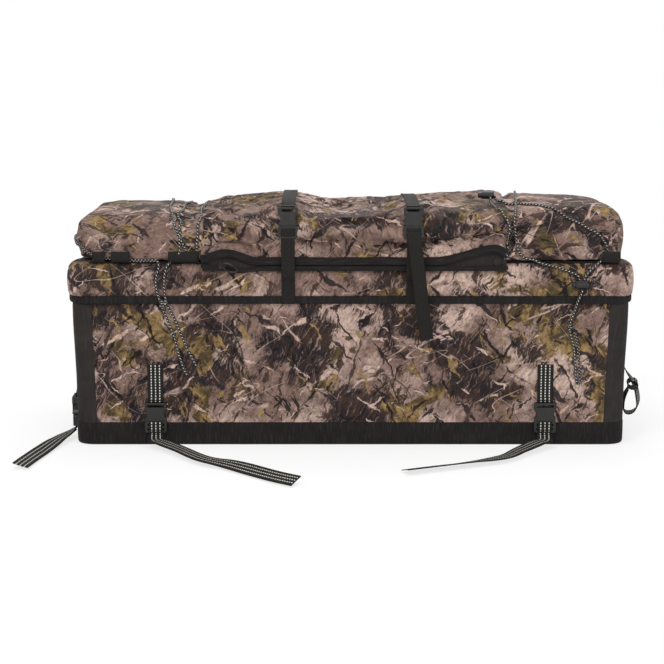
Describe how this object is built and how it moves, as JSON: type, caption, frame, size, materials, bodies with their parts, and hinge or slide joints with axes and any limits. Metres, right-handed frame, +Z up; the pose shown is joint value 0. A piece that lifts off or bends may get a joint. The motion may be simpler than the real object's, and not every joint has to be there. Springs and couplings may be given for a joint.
{
  "type": "rack cargo bag",
  "caption": "Soft box bag for a vehicle's cargo rack, with a zipped hinged lid, a bolster roll under a saddle pouch, webbing tie-downs with side-release buckles and elastic lashing cord.",
  "frame": {"origin": "on the floor under the middle of the bag's base", "axes": "+X along the bag's length to the right seen from the front, +Y from front to back, +Z up"},
  "size_m": [1.0187, 0.5701, 0.4135],
  "materials": {
    "camo_cloth": "printed matt polyester in a mottled brown camouflage",
    "black_cloth": "matt coarse black polyester",
    "black_webbing": "woven black webbing",
    "buckle_plastic": "moulded black acetal",
    "zip_metal": "black painted die casting",
    "board_plastic": "black sheet",
    "elastic_cord": "black braid with pale flecks"
  },
  "bodies": {
    "root": {"base_panel": "black_cloth", "base_stiffener": "board_plastic", "base_band": "black_cloth", "front_panel": "camo_cloth", "back_panel": "camo_cloth", "left_end_panel": "camo_cloth", "right_end_panel": "camo_cloth", "corner_trim_front_left": "black_cloth", "corner_trim_front_right": "black_cloth", "corner_trim_back_left": "black_cloth", "corner_trim_back_right": "black_cloth", "zip_tape_lower": "black_webbing", "lid_hinge_tape": "black_cloth", "tie_webbing_left": "black_webbing", "tie_webbing_right": "black_webbing", "tie_buckle_female_left": "buckle_plastic", "tie_buckle_female_right": "buckle_plastic", "side_webbing_left": "black_webbing", "side_buckle_female_left": "buckle_plastic", "side_bow_right": "black_webbing"},
    "lid": {"lid_boxing": "camo_cloth", "lid_top_panel": "camo_cloth", "lid_hem_band": "black_cloth", "zip_tape_upper": "black_webbing", "top_roll": "camo_cloth", "saddle_pouch": "camo_cloth", "pouch_binding_upper": "black_cloth", "pouch_binding_lower": "black_cloth", "top_strap_rear_left": "black_webbing", "top_strap_rear_right": "black_webbing", "top_buckle_female_left": "buckle_plastic", "top_buckle_female_right": "buckle_plastic", "lash_keeper_front": "black_webbing", "lash_keeper_back": "black_webbing", "cord_lock_top_barrel": "buckle_plastic", "cord_lock_front_barrel": "buckle_plastic", "lash_cord_left_outer": "elastic_cord", "lash_cord_left_inner": "elastic_cord", "lash_cord_right_inner": "elastic_cord", "lash_cord_right_outer": "elastic_cord", "lash_cord_right_over": "elastic_cord", "lash_tail_right": "elastic_cord"},
    "zip_slider_left": {"zip_slider_left": "zip_metal"},
    "zip_slider_right": {"zip_slider_right": "zip_metal"},
    "zip_pull_left": {"zip_pull_left": "zip_metal"},
    "zip_pull_right": {"zip_pull_right": "zip_metal"},
    "pouch_slider": {"pouch_zip_slider": "zip_metal"},
    "tie_plug_left": {"tie_buckle_male_left": "buckle_plastic", "tie_tail_left": "black_webbing"},
    "tie_plug_right": {"tie_buckle_male_right": "buckle_plastic", "tie_tail_right": "black_webbing"},
    "side_plug_left": {"side_buckle_male_left": "buckle_plastic", "side_tail_left": "black_webbing"},
    "top_plug_left": {"top_buckle_male_left": "buckle_plastic", "top_strap_front_left": "black_webbing"},
    "top_plug_right": {"top_buckle_male_right": "buckle_plastic", "top_strap_front_right": "black_webbing", "top_tail_right": "black_webbing"},
    "top_lock_button": {"cord_lock_top_button": "buckle_plastic"},
    "front_lock_button": {"cord_lock_front_button": "buckle_plastic"}
  },
  "joints": [
    {"name": "lid_hinge", "type": "hinge", "parent": "root", "child": "lid", "pos_m": [0, 0.1509, 0.241], "axis": [-1, 0, 0], "range_deg": [0, 100], "deforming": ["lid_hinge_tape"]},
    {"name": "zip_slide_left", "type": "slide", "parent": "lid", "child": "zip_slider_left", "axis": [0, 1, 0], "range_m": [-0.05, 0.165]},
    {"name": "zip_slide_right", "type": "slide", "parent": "lid", "child": "zip_slider_right", "axis": [0, 1, 0], "range_m": [-0.05, 0.165]},
    {"name": "zip_swing_left", "type": "hinge", "parent": "zip_slider_left", "child": "zip_pull_left", "pos_m": [-0.4585, -0.06, 0.2324], "axis": [0, 1, 0], "range_deg": [0, 70]},
    {"name": "zip_swing_right", "type": "hinge", "parent": "zip_slider_right", "child": "zip_pull_right", "pos_m": [0.4585, -0.06, 0.2324], "axis": [0, -1, 0], "range_deg": [0, 70]},
    {"name": "pouch_slide", "type": "slide", "parent": "lid", "child": "pouch_slider", "axis": [1, 0, 0], "range_m": [0, 0.44]},
    {"name": "tie_release_left", "type": "slide", "parent": "root", "child": "tie_plug_left", "axis": [0, 0, -1], "range_m": [0, 0.02], "deforming": ["tie_tail_left"]},
    {"name": "tie_release_right", "type": "slide", "parent": "root", "child": "tie_plug_right", "axis": [0, 0, -1], "range_m": [0, 0.02], "deforming": ["tie_tail_right"]},
    {"name": "side_release_left", "type": "slide", "parent": "root", "child": "side_plug_left", "axis": [0, 0, -1], "range_m": [0, 0.02], "deforming": ["side_tail_left"]},
    {"name": "top_release_left", "type": "slide", "parent": "lid", "child": "top_plug_left", "axis": [0, -0.1736, -0.9848], "range_m": [0, 0.022], "deforming": ["top_strap_front_left"]},
    {"name": "top_release_right", "type": "slide", "parent": "lid", "child": "top_plug_right", "axis": [0, -0.1736, -0.9848], "range_m": [0, 0.022], "deforming": ["top_strap_front_right", "top_tail_right"]},
    {"name": "top_lock_press", "type": "slide", "parent": "lid", "child": "top_lock_button", "axis": [1, 0, 0], "range_m": [0, 0.004], "stiffness_N_per_m": 250, "springref_m": -0.003},
    {"name": "front_lock_press", "type": "slide", "parent": "lid", "child": "front_lock_button", "axis": [1, 0, 0], "range_m": [0, 0.004], "stiffness_N_per_m": 250, "springref_m": -0.003}
  ]
}
